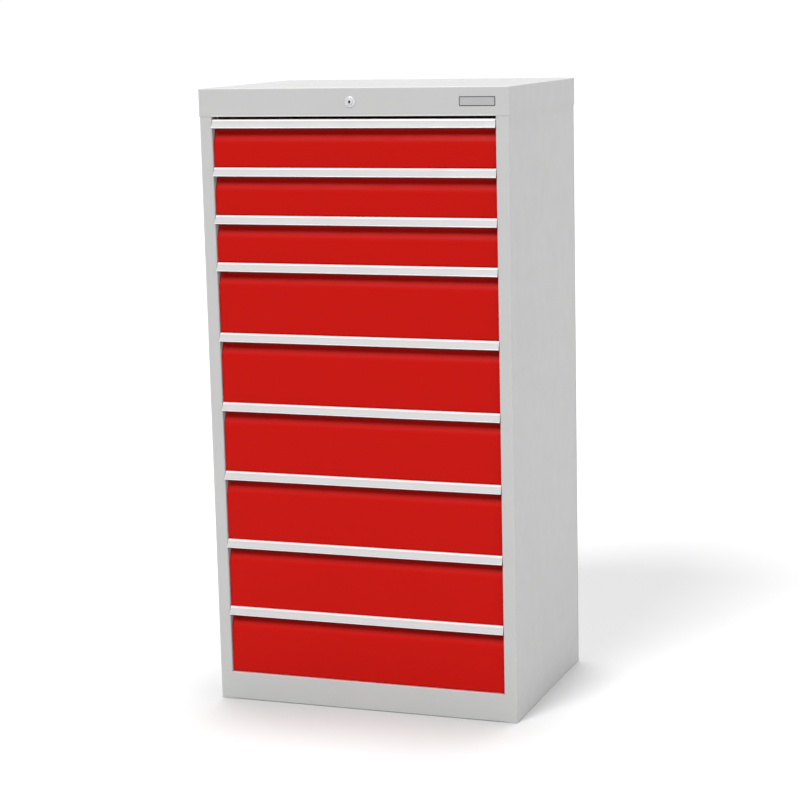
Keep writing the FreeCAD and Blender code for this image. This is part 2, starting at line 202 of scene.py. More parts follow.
@dataclass(frozen=True)
class Finish:
    """Surface whose colour, gloss and relief each drift with a pattern.

    The height of the relief is in metres. A fine grain may ride on it.
    """

    name: str
    colour: Colour
    drift: float
    tint: Pattern
    gloss: Pattern
    roughness: tuple[float, float]
    relief: Pattern
    height: float
    metallic: float = 0.0
    specular: float = 0.5
    grain: Pattern | None = None
    grain_share: float = 0.3

    def material(self) -> Material:
        """Builds the material.

        Returns:
            The material, ready to use.
        """
        graph = NodeGraph(self.name)
        graph.tinted(self.colour, self.drift, graph.pattern(self.tint))
        graph.roughened(graph.pattern(self.gloss), *self.roughness)
        relief = graph.bump(graph.pattern(self.relief), self.height)
        if self.grain:
            graph.bump(graph.pattern(self.grain), self.height * self.grain_share, relief)
        graph.set(Metallic=self.metallic, Specular_IOR_Level=self.specular)
        return graph.material

    def like(self, name: str, colour: Colour, **changes: object) -> "Finish":
        """The same kind of surface under another name.

        Args:
            name: The material's name.
            colour: Middle colour, linear.
            **changes: Other fields that differ.

        Returns:
            The new finish.
        """
        return replace(self, name=name, colour=colour, **changes)


GRAIN_ALONG_X = Pattern(1.0, stretch=(3.0, 900.0, 900.0))
GRAIN_ALONG_Y = Pattern(1.0, stretch=(900.0, 3.0, 900.0))
CLOUD = Pattern(40.0)
SCRATCHES = Pattern(1.0, 4.0, (700.0, 12.0, 700.0))
HAZE = Pattern(300.0)
POWDER = Finish(
    "casing_powder_coat",
    (0.4, 0.402, 0.399),
    drift=0.025,
    tint=Pattern(7.0),
    gloss=Pattern(24.0, 5.0),
    roughness=(0.37, 0.48),
    relief=Pattern(520.0, 2.0),
    height=0.000035,
    specular=0.1,
    grain=Pattern(2080.0, 1.0),
)
DRAWN = Finish(
    "turned_roller_steel",
    (0.55, 0.55, 0.57),
    drift=0.05,
    tint=GRAIN_ALONG_X,
    gloss=Pattern(14.0),
    roughness=(0.24, 0.38),
    relief=GRAIN_ALONG_X,
    height=0.000012,
    metallic=1.0,
)
PLASTIC = Finish(
    "guide_plastic",
    (0.03, 0.03, 0.032),
    drift=0.05,
    tint=CLOUD,
    gloss=CLOUD,
    roughness=(0.45, 0.57),
    relief=Pattern(1500.0, 2.0),
    height=0.00003,
)
ZINC = Finish(
    "zinc_plate",
    (0.62, 0.63, 0.65),
    drift=0.09,
    tint=Pattern(160.0, cells=True),
    gloss=SCRATCHES,
    roughness=(0.3, 0.46),
    relief=SCRATCHES,
    height=0.00001,
    metallic=1.0,
)
PLATING = Finish(
    "lock_chrome",
    (0.56, 0.56, 0.57),
    drift=0.03,
    tint=HAZE,
    gloss=HAZE,
    roughness=(0.26, 0.36),
    relief=HAZE,
    height=0.000004,
    metallic=0.3,
    specular=0.25,
)


class Finishes:
    """Every finish of the cabinet, made once."""

    def __init__(self) -> None:
        """Builds the materials."""
        # The third colour is the nameplate's dark border, darkened as painted shade for the shadow along the
        # plate's edges.
        red, silver, edge = (0.395, 0.0052, 0.0033), (0.53, 0.523, 0.527), (0.05, 0.04, 0.042)
        dull = (0.34, 0.48)
        screw = {"roughness": (0.26, 0.4), "tint": GRAIN_ALONG_Y, "relief": GRAIN_ALONG_Y}
        self.casing = POWDER.material()
        self.front = POWDER.like("red_powder_coat", red, roughness=(0.35, 0.46), specular=0.04).material()
        self.tray = POWDER.like("tray_powder_coat", (0.41, 0.415, 0.415), roughness=(0.45, 0.56)).material()
        self.grip = DRAWN.like("grip_aluminium", silver, roughness=dull, metallic=0.15).material()
        self.label = PLASTIC.like("label_strip_plastic", (0.405, 0.401, 0.405), height=0.00001).material()
        self.guide = PLASTIC.material()
        self.zinc = ZINC.material()
        self.roller = DRAWN.material()
        self.chrome = PLATING.material()
        self.keyway = PLASTIC.like("keyway_shadow", (0.008, 0.008, 0.008), roughness=(0.65, 0.77)).material()
        self.plate = DRAWN.like("plate_aluminium", (0.4, 0.4, 0.41), roughness=dull, metallic=0.5).material()
        # Dark nameplate border, partly painted shade standing in for the shadow along the plate's edges.
        self.plate_border_shade = PLASTIC.like("plate_border_painted_shade", edge, roughness=(0.35, 0.47)).material()
        self.screw = DRAWN.like("screw_steel", (0.5, 0.5, 0.52), **screw).material()


def linked(name: str, data: ID) -> Object:
    """Makes an object and links it into the scene.

    Args:
        name: The object's name.
        data: Its mesh, light or camera.

    Returns:
        The object.
    """
    obj = bpy.data.objects.new(name, data)
    bpy.context.scene.collection.objects.link(obj)
    return obj


def evaluated(obj: Object) -> Mesh:
    """Works out an object's modifiers.

    Args:
        obj: Object with live modifiers.

    Returns:
        The result as a new mesh.
    """
    graph = bpy.context.evaluated_depsgraph_get()
    graph.update()
    return bpy.data.meshes.new_from_object(obj.evaluated_get(graph))


def finish_mesh(
    name: str,
    bm: BMesh,
    material: Material,
    bevel: float = 0.0,
    smooth_angle: float = 32.0,
) -> Object:
    """Turns a bmesh into a finished object at the origin.

    Args:
        name: The object's name.
        bm: Its shape in place, which is freed.
        material: Its finish.
        bevel: Width of the chamfer on sharp edges, or 0 for none.
        smooth_angle: Edges sharper than this many degrees stay sharp.

    Returns:
        The object, with no modifier left on it.
    """
    obj = linked(name, mesh_from(bm, name))
    if bevel:
        modifier = obj.modifiers.new("edges", "BEVEL")
        modifier.width = bevel
        modifier.segments = 1
        modifier.limit_method = "ANGLE"
        modifier.angle_limit = math.radians(40)
    return applied(obj, material, smooth_angle)


def applied(obj: Object, material: Material, smooth_angle: float) -> Object:
    """Replaces an object's mesh by its evaluated one and drops its modifiers.

    Args:
        obj: Object with live modifiers.
        material: Finish given to every face.
        smooth_angle: Edges sharper than this many degrees stay sharp.

    Returns:
        The same object.
    """
    mesh = evaluated(obj)
    mesh.name = obj.name
    obj.modifiers.clear()
    obj.data = mesh
    if not mesh.materials:
        mesh.materials.append(material)
    mesh.shade_smooth()
    mesh.set_sharp_from_angle(angle=math.radians(smooth_angle))
    return obj


def mesh_from(bm: BMesh, name: str) -> Mesh:
    """Turns a bmesh into a mesh whose faces point outwards.

    Args:
        bm: The bmesh, which is freed.
        name: The mesh's name.

    Returns:
        The mesh.
    """
    bmesh.ops.recalc_face_normals(bm, faces=bm.faces)
    mesh = bpy.data.meshes.new(name)
    bm.to_mesh(mesh)
    bm.free()
    return mesh


def add_block(bm: BMesh, low: Vector, high: Vector) -> None:
    """Adds a closed block between two corners.

    Args:
        bm: The bmesh that takes it.
        low: Lowest corner.
        high: Highest corner.
    """
    middle = (low + high) / 2
    size = high - low
    place = Matrix.Translation(middle) @ Matrix.Diagonal((*size, 1.0))
    bmesh.ops.create_cube(bm, size=1.0, matrix=place)


def add_lathe(
    bm: BMesh,
    profile: Sequence[Point2],
    centre: Vector,
    axis: Vector,
    steps: int,
    closed: bool = False,
) -> None:
    """Adds a profile turned about an axis.

    Args:
        bm: The bmesh that takes it.
        profile: (distance along the axis, radius) from one end to the other; a radius of 0 closes the end.
        centre: Point on the axis where the distance is 0.
        axis: Direction of the axis, of length 1.
        steps: Segments round the axis.
        closed: Whether the last ring joins the first, as in a bush.
    """
    side = axis.orthogonal().normalized()
    other = axis.cross(side)
    rings = []
    for along, radius in profile:
        middle = centre + axis * along
        if radius == 0:
            rings.append([bm.verts.new(middle)])
            continue
        angles = [2 * math.pi * step / steps for step in range(steps)]
        spokes = [side * math.cos(angle) + other * math.sin(angle) for angle in angles]
        rings.append([bm.verts.new(middle + spoke * radius) for spoke in spokes])
    following = rings[1:] + rings[:1] if closed else rings[1:]
    for ring, follow in zip(rings, following):
        for step in range(steps):
            after = (step + 1) % steps
            corners = [ring[step % len(ring)], ring[after % len(ring)]]
            corners += [follow[after % len(follow)], follow[step % len(follow)]]
            unique = list(dict.fromkeys(corners))
            if len(unique) > 2:
                bm.faces.new(unique)


def arc(centre: Point2, radius: float, start: float, end: float, steps: int) -> list[Point2]:
    """Points of an arc.

    Args:
        centre: The arc's centre.
        radius: Its radius.
        start: First angle in degrees.
        end: Last angle in degrees.
        steps: Number of chords.

    Returns:
        The points, both ends included.
    """
    angles = [math.radians(start + (end - start) * step / steps) for step in range(steps + 1)]
    return [(centre[0] + radius * math.cos(a), centre[1] + radius * math.sin(a)) for a in angles]


def rounded(points: Sequence[Point2], radii: Sequence[float], steps: int) -> list[Point2]:
    """An open line with a tangent arc at each inner corner.

    Args:
        points: The line's corners.
        radii: Radius at each inner corner.
        steps: Chords in each arc.

    Returns:
        The line's points.
    """
    line = [points[0]]
    for before, corner, after, radius in zip(points, points[1:], points[2:], radii):
        here = Vector(corner)
        back = (Vector(before) - here).normalized()
        ahead = (Vector(after) - here).normalized()
        half = back.angle(ahead) / 2
        middle = here + (back + ahead).normalized() * (radius / math.sin(half))
        enter = here + back * (radius / math.tan(half)) - middle
        leave = here + ahead * (radius / math.tan(half)) - middle
        turn = enter.angle_signed(leave)
        for step in range(steps + 1):
            spoke = enter.copy()
            spoke.rotate(Matrix.Rotation(-turn * step / steps, 2))
            line.append(tuple(middle + spoke))
    line.append(points[-1])
    return line


def keep(obj: Object, body: str, replaces: Iterable[str] = ()) -> None:
    """Hands a finished piece to the frame.

    Args:
        obj: The piece.
        body: CAD body that it moves with.
        replaces: CAD nodes that it stands for.
    """
    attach(obj, body)
    nodes = list(replaces)
    if nodes:
        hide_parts(*nodes)
    LOG.info("piece %s on %s, %d faces", obj.name, body, len(obj.data.polygons))


@dataclass(frozen=True)
class Levels:
    """Where one drawer's front and handle are."""

    number: int
    plane: float
    top: float
    bottom: float
    back: float
    half: float

    @classmethod
    def of(cls, number: int) -> "Levels":
        """Reads a drawer's place off its construction.

        Args:
            number: The drawer, counted from the top.

        Returns:
            Its levels.
        """
        front_low, front_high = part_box(f"drawer_{number}_front")
        _, handle_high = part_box(f"drawer_{number}_handle")
        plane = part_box("side_panel_left")[0].y
        return cls(number, plane, handle_high.z, front_low.z, front_high.y, front_high.x)

    @property
    def body(self) -> str:
        """Name of the drawer's body.

        Returns:
            The name as the frame has it.
        """
        return f"drawer_{self.number}"


def shifted(line: Sequence[Point2], distance: float, closed: bool = False) -> list[Point2]:
    """Moves a line sideways, keeping its corners mitred.

    Args:
        line: The line's corners.
        distance: How far it moves to the left of its direction.
        closed: Whether the last corner joins the first.

    Returns:
        The moved corners.
    """
    corners = [Vector(point) for point in line]
    stops = corners[1:] + corners[:1] if closed else corners[1:]
    normals = []
    for start, end in zip(corners, stops):
        along = (end - start).normalized()
        normals.append(Vector((-along.y, along.x)))
    before = normals[-1] if closed else normals[0]
    sides = [before, *normals, normals[-1]]
    moved = []
    for corner, first, second in zip(corners, sides, sides[1:]):
        moved.append(tuple(corner + (first + second) * (distance / (1.0 + first.dot(second)))))
    return moved


def inset(outline: Sequence[Point2], distance: float) -> list[Point2]:
    """Shrinks a closed outline.

    Args:
        outline: Closed outline, without its first point repeated.
        distance: How far every side moves in.

    Returns:
        The smaller outline.
    """
    following = [*outline[1:], outline[0]]
    area = sum(a[0] * b[1] - b[0] * a[1] for a, b in zip(outline, following))
    return shifted(outline, math.copysign(distance, area), closed=True)


def add_section(bm: BMesh, rings: Sequence[tuple[float, Sequence[Point2]]], axis: int = 0) -> None:
    """Adds a closed body through outlines in planes across one axis, all with the same number of points.

    Args:
        bm: The bmesh that takes it.
        rings: (place along the axis, outline in the other two coordinates) from one end to the other.
        axis: 0 for X, 1 for Y.
    """
    loops = [[bm.verts.new((*at[:axis], along, *at[axis:])) for at in outline] for along, outline in rings]
    bm.faces.new(loops[0])
    bm.faces.new(loops[-1][::-1])
    count = len(loops[0])
    for loop, follow in zip(loops, loops[1:]):
        for index in range(count):
            after = (index + 1) % count
            bm.faces.new((loop[index], follow[index], follow[after], loop[after]))


def rounded_end(
    outline: Sequence[Point2],
    end: float,
    towards: float,
    radius: float,
) -> list[tuple[float, list[Point2]]]:
    """Rings that round one end of a section.

    Args:
        outline: The section's outline.
        end: Where the section ends along X.
        towards: 1 if the end faces +X, -1 if it faces -X.
        radius: Radius of the rounding.

    Returns:
        Rings from the full outline to the end face.
    """
    rings = []
    for degrees in (0, 45, 90):
        angle = math.radians(degrees)
        x = end - towards * radius * (1 - math.sin(angle))
        rings.append((x, inset(outline, radius * (1 - math.cos(angle))) if degrees else list(outline)))
    return rings


@dataclass(frozen=True)
class Part:
    """Part of the cabinet that is built with its finishes."""

    finishes: Finishes


@dataclass(frozen=True)
class DrawerFront(Part):
    """Red front of bent sheet: finger scoop, a wall at each end and a fold over the handle's flange."""

    sheet: float = 0.001
    face_inset: float = 0.005
    scoop_depth: float = 0.015
    scoop_drop: float = 0.024
    scoop_height: float = 0.0485
    scoop_radius: float = 0.014
    foot_radius: float = 0.03
    bend: float = 0.001
    handle_wall: float = 0.002
    edge: float = 0.0004
    fold: float = 0.0005
    fold_inset: float = 0.0065

    def corners(self, at: Levels) -> list[Point2]:
        """Corners of the visible face's section, from the top of the scoop to the return along the foot.

        Args:
            at: The drawer's levels.

        Returns:
            The corners as (y, z).
        """
        scoop = at.plane + self.scoop_depth
        face = at.plane + self.face_inset
        return [
            (scoop, at.top - self.handle_wall),
            (scoop, at.top - self.scoop_drop),
            (face, at.top - self.scoop_height),
            (face, at.bottom),
            (at.back, at.bottom),
        ]

    def build(self, at: Levels) -> None:
        """Builds one front.

        Args:
            at: The drawer's levels.
        """
        outer_bend = self.bend + self.sheet
        face = rounded(self.corners(at), [self.scoop_radius, self.foot_radius, outer_bend], 12)
        behind = shifted(self.corners(at), self.sheet)
        back = rounded(behind, [self.scoop_radius + self.sheet, self.foot_radius - self.sheet, self.bend], 12)
        bm = bmesh.new()
        inner = at.half - self.sheet
        add_section(bm, [(-inner, face + back[::-1]), (inner, face + back[::-1])])
        wall = [*face, (at.back, at.top - self.handle_wall)]
        for side in (-1, 1):
            rings = [(side * inner, wall), *rounded_end(wall, side * at.half, side, self.edge)]
            add_section(bm, rings)
        fold_low = Vector((-inner, at.plane + self.fold_inset, at.top))
        add_block(bm, fold_low, Vector((inner, at.back, at.top + self.fold)))
        piece = finish_mesh(f"{at.body}_red_front", bm, self.finishes.front)
        keep(piece, at.body, [f"{at.body}_front"])


@dataclass(frozen=True)
class GripStrip(Part):
    """Leaning extruded handle with a rib along both edges and a label strip held between them."""

    wall: float = 0.002
    top_inset: float = 0.003
    lip_out: float = 0.0045
    height: float = 0.0177
    bend: float = 0.0008
    rib_width: float = 0.0016
    rib_out: float = 0.0007
    rib_edge: float = 0.00022
    label_thickness: float = 0.00035
    label_end: float = 0.0004
    flare: float = 0.001
    rib_gap: float = 0.0002
    label_gap: float = 0.0001

    def corners(self, at: Levels) -> list[Point2]:
        """Outer line from the front's back over the top and down to the lower edge.

        Args:
            at: The drawer's levels.

        Returns:
            The corners as (y, z).
        """
        lip = (at.plane - self.lip_out, at.top - self.height)
        return [(at.back, at.top), (at.plane + self.top_inset, at.top), lip]

    def slope(self, at: Levels) -> float:
        """Length of the leaning face.

        Args:
            at: The drawer's levels.

        Returns:
            The length from its top to the lip.
        """
        _, top, lip = self.corners(at)
        return (Vector(lip) - Vector(top)).length

    def along(self, at: Levels) -> Callable[[float, float], Point2]:
        """Coordinates on the leaning face.

        Args:
            at: The drawer's levels.

        Returns:
            A function from (distance down the face, distance out of it) to (y, z).
        """
        _, top, lip = (Vector(corner) for corner in self.corners(at))
        down = (lip - top).normalized()
        out = Vector((down.y, -down.x))

        def point(distance: float, proud: float) -> Point2:
            return tuple(top + down * distance + out * proud)

        return point

    def outline(self, at: Levels) -> list[Point2]:
        """Closed section of the strip with both ribs.

        Args:
            at: The drawer's levels.

        Returns:
            The outline as (y, z).
        """
        outer = rounded(self.corners(at), [self.bend + self.wall], 8)
        inner = rounded(shifted(self.corners(at), self.wall), [self.bend], 8)
        point = self.along(at)
        slope = self.slope(at)
        small, high = self.rib_edge, self.rib_out
        low = high - small
        line = outer[:-1]
        for start in (self.wall + self.bend + self.rib_gap, slope - self.rib_width):
            end = start + self.rib_width
            rib = [(start, 0.0), (start, low), (start + small, high), (end - small, high), (end, low)]
            if end < slope - small:
                rib.append((end, 0.0))
            line += [point(*corner) for corner in rib]
        return line + inner[::-1]

    def flare_ends(self, bm: BMesh, at: Levels) -> None:
        """Widens a strip towards the lip, so that its ends pass just ahead of the posts.

        Args:
            bm: The strip, with its ends square.
            at: The drawer's levels.
        """
        top = at.plane + self.top_inset
        for vert in bm.verts:
            ahead = max(0.0, top - vert.co.y) / (self.top_inset + self.lip_out)
            vert.co.x += math.copysign(self.flare * ahead, vert.co.x)

    def build(self, at: Levels) -> None:
        """Builds one handle and its label strip.

        Args:
            at: The drawer's levels.
        """
        bm = bmesh.new()
        outline = self.outline(at)
        add_section(bm, [(-at.half, outline), (at.half, outline)])
        self.flare_ends(bm, at)
        grip = finish_mesh(f"{at.body}_grip", bm, self.finishes.grip, smooth_angle=25.0)
        keep(grip, at.body, [f"{at.body}_handle"])
        point = self.along(at)
        slope = self.slope(at)
        gap, thickness = self.label_gap, self.label_thickness
        start = self.wall + self.bend + self.rib_gap + self.rib_width + gap
        end = slope - self.rib_width - gap
        strip = [(start, -gap), (end, -gap), (end, thickness), (start, thickness)]
        section = [point(*corner) for corner in strip]
        half = at.half - self.label_end
        bm = bmesh.new()
        add_section(bm, [(-half, section), (half, section)])
        self.flare_ends(bm, at)
        label = finish_mesh(f"{at.body}_label_strip", bm, self.finishes.label, bevel=SMALL_BEVEL)
        keep(label, at.body)


class Head(Enum):
    """Kind of fastener head, with its segments round the axis."""

    RIVET = 12
    HEXAGON = 6


@dataclass(frozen=True)
class HeadRow:
    """Row of fastener heads grown along a line by a Geometry Nodes tree."""

    name: str
    head: Head
    start: Vector
    step: Vector
    count: int
    radius: float
    height: float
    turn: Vector
    rings: int = 8

    def tree(self, material: Material) -> tuple[NodeTree, dict[str, str]]:
        """Builds the node tree.

        Args:
            material: Finish of every head.

        Returns:
            The tree, and the socket identifier of each named input.
        """
        tree = bpy.data.node_groups.new(f"{self.name}_heads", "GeometryNodeTree")
        faces = tree.interface
        faces.new_socket("Geometry", in_out="OUTPUT", socket_type="NodeSocketGeometry")
        kinds = {"Count": "Int", "Start": "Vector", "Step": "Vector", "Radius": "Float", "Height": "Float"}
        kinds |= {"Turn": "Vector"}
        named = {}
        for label, kind in kinds.items():
            socket = faces.new_socket(label, in_out="INPUT", socket_type=f"NodeSocket{kind}")
            named[label] = socket.identifier
        given = add_node(tree, "NodeGroupInput").outputs
        inputs = {"Count": given["Count"], "Start Location": given["Start"], "Offset": given["Step"]}
        points = add_node(tree, "GeometryNodeMeshLine", inputs, mode="OFFSET").outputs["Mesh"]
        inputs = {"Points": points, "Instance": self.shape(tree, given), "Rotation": given["Turn"]}
        grown = add_node(tree, "GeometryNodeInstanceOnPoints", inputs).outputs["Instances"]
        real = add_node(tree, "GeometryNodeRealizeInstances", {"Geometry": grown}).outputs["Geometry"]
        inputs = {"Geometry": real, "Material": material}
        painted = add_node(tree, "GeometryNodeSetMaterial", inputs).outputs["Geometry"]
        add_node(tree, "NodeGroupOutput", {"Geometry": painted})
        return tree, named

    def shape(self, tree: NodeTree, given: NodeOutputs) -> NodeSocket:
        """Adds the nodes of one head, standing on z = 0 and pointing up.

        Args:
            tree: Tree that takes them.
            given: The tree's inputs.

        Returns:
            The head's geometry.
        """
        radius, height = given["Radius"], given["Height"]
        if self.head is Head.RIVET:
            inputs = {"Segments": self.head.value, "Rings": self.rings, "Radius": 1.0}
            ball = add_node(tree, "GeometryNodeMeshUVSphere", inputs).outputs["Mesh"]
            inputs = {"X": radius, "Y": radius, "Z": height}
            scale = add_node(tree, "ShaderNodeCombineXYZ", inputs).outputs["Vector"]
            inputs = {"Geometry": ball, "Scale": scale}
            return add_node(tree, "GeometryNodeTransform", inputs).outputs["Geometry"]
        stack = add_node(tree, "GeometryNodeJoinGeometry")
        sides = self.head.value
        layers = ((16, 1.3, 1.28, 0.0, 0.22), (sides, 1.0, 1.0, 0.22, 0.85), (sides, 1.0, 0.84, 0.85, 1.0))
        for corners, bottom, top, low, high in layers:
            inputs = {
                "Vertices": corners,
                "Radius Bottom": self.scaled(tree, radius, bottom),
                "Radius Top": self.scaled(tree, radius, top),
                "Depth": self.scaled(tree, height, high - low),
            }
            cone = add_node(tree, "GeometryNodeMeshCone", inputs).outputs["Mesh"]
            inputs = {"Z": self.scaled(tree, height, low)}
            lift = add_node(tree, "ShaderNodeCombineXYZ", inputs).outputs["Vector"]
            inputs = {"Geometry": cone, "Translation": lift}
            raised = add_node(tree, "GeometryNodeTransform", inputs).outputs["Geometry"]
            tree.links.new(raised, stack.inputs["Geometry"])
        return stack.outputs["Geometry"]

    @staticmethod
    def scaled(tree: NodeTree, value: NodeSocket, factor: float) -> NodeSocket:
        """Adds a node that multiplies a value by a factor.

        Args:
            tree: Tree that takes it.
            value: The value.
            factor: The factor.

        Returns:
            The product.
        """
        return add_node(tree, "ShaderNodeMath", {0: value, 1: factor}, operation="MULTIPLY").outputs["Value"]

    def mesh(self, material: Material) -> Mesh:
        """Evaluates the tree.

        Args:
            material: Finish of every head.

        Returns:
            The row as one mesh.
        """
        tree, named = self.tree(material)
        carrier = linked(f"{self.name}_carrier", bpy.data.meshes.new(f"{self.name}_carrier"))
        modifier = carrier.modifiers.new("heads", "NODES")
        modifier.node_group = tree
        for label, identifier in named.items():
            modifier[identifier] = getattr(self, label.lower())
        mesh = evaluated(carrier)
        bpy.data.objects.remove(carrier)
        return mesh


def heads_on_both_sides(row: HeadRow, material: Material) -> Object:
    """Grows a row of heads on the right and its mirror image on the left, as one piece.

    Args:
        row: The row on the right, whose name the piece takes.
        material: The heads' finish.

    Returns:
        The piece, with its place in its vertices.
    """
    bm = bmesh.new()
    for side, label in ((-1, "left"), (1, "right")):
        start = Vector((side * row.start.x, row.start.y, row.start.z))
        turn = Vector((row.turn.x, side * row.turn.y, side * row.turn.z))
        one = replace(row, name=f"{row.name}_{label}", start=start, turn=turn)
        bm.from_mesh(one.mesh(material))
    return finish_mesh(row.name, bm, material, smooth_angle=40.0)


@dataclass(frozen=True)
class RearScrews(Part):
    """Hexagon screws with washers down both sides of the back panel."""

    radius: float = 0.00404
    height: float = 0.0016
    count: int = 4

    def build(self) -> None:
        """Builds the screws."""
        low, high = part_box("casing_screws")
        row = HeadRow(
            "rear_screws",
            Head.HEXAGON,
            Vector((high.x - self.radius, low.y, low.z + self.radius)),
            Vector((0, 0, (high.z - low.z - 2 * self.radius) / (self.count - 1))),
            self.count,
            self.radius,
            self.height,
            Vector((-math.pi / 2, 0, 0)),
        )
        piece = heads_on_both_sides(row, self.finishes.screw)
        keep(piece, "cabinet", ["casing_screws"])


@dataclass(frozen=True)
class RunnerRivets(Part):
    """Domed rivets that hold a drawer's runners to the inside of its tray."""

    radius: float = 0.0032
    height: float = 0.0009
    count: int = 5
    end_gap: float = 0.04
    tray_half: float = 0.2865
    sheet: float = 0.001
    rivet_height: float = 0.0158

    def build(self, at: Levels) -> None:
        """Builds the rivets of one drawer.

        Args:
            at: The drawer's levels.
        """
        low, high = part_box(f"{at.body}_tray")
        step = (high.y - low.y - 2 * self.end_gap) / (self.count - 1)
        row = HeadRow(
            f"{at.body}_runner_rivets",
            Head.RIVET,
            Vector((self.tray_half - self.sheet, low.y + self.end_gap, low.z + self.rivet_height)),
            Vector((0, step, 0)),
            self.count,
            self.radius,
            self.height,
            Vector((0, -math.pi / 2, 0)),
        )
        piece = heads_on_both_sides(row, self.finishes.screw)
        keep(piece, at.body)


@dataclass(frozen=True)
class Carriage(Part):
    """Roller carriages of one drawer: a plate with three turned rollers on each side."""

    length: float = 0.3
    plate: float = 0.002
    roller_radius: float = 0.01
    roller_width: float = 0.0095
    window_half: float = 0.0103
    axle_gap: float = 0.015
    axle_radius: float = 0.0034
    axle_out: float = 0.0004
    edge: float = 0.0008

    def roller(self, bm: BMesh, start: Vector, width: float) -> None:
        """Adds a roller with its axle head.

        Args:
            bm: The bmesh that takes it.
            start: Middle of the roller's end that is lowest along X.
            width: Length along X.
        """
        face = self.axle_out
        end = [
            (0.0, 0.0),
            (0.0, self.axle_radius - face),
            (face, self.axle_radius),
            (face, self.roller_radius - self.edge),
            (face + self.edge, self.roller_radius),
        ]
        profile = end + [(width - along, radius) for along, radius in end[::-1]]
        add_lathe(bm, profile, start, Vector((1, 0, 0)), steps=32)

    def build(self, at: Levels) -> None:
        """Builds the plates and rollers of one drawer.

        Args:
            at: The drawer's levels.
        """
        low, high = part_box(f"{at.body}_carriage")
        middle = (low + high) / 2
        half = (high.z - low.z) / 2
        window = self.window_half
        inner = high.x - self.roller_width - self.plate
        outer = inner + self.plate
        body = f"carriage_{at.number}"
        plates, rollers = bmesh.new(), bmesh.new()
        for side in (-1, 1):
            ends = sorted((side * inner, side * outer))
            parts = (
                (-self.length / 2, -window, -half, half),
                (window, self.length / 2, -half, half),
                (-window, window, window, half),
                (-window, window, -half, -window),
            )
            for y_low, y_high, z_low, z_high in parts:
                near = Vector((ends[0], middle.y + y_low, middle.z + z_low))
                add_block(plates, near, Vector((ends[1], middle.y + y_high, middle.z + z_high)))
            reach = self.length / 2 - self.axle_gap
            inside = inner - self.roller_width
            spans = ((reach, outer, high.x), (-reach, inside, inner), (0.0, inside, high.x))
            for ahead, near, far in spans:
                start = near if side > 0 else -far
                self.roller(rollers, Vector((start, middle.y + ahead, middle.z)), far - near)
        plate = finish_mesh(f"{body}_plates", plates, self.finishes.zinc)
        keep(plate, body, [f"{at.body}_carriage"])
        roller = finish_mesh(f"{body}_rollers", rollers, self.finishes.roller)
        keep(roller, body)


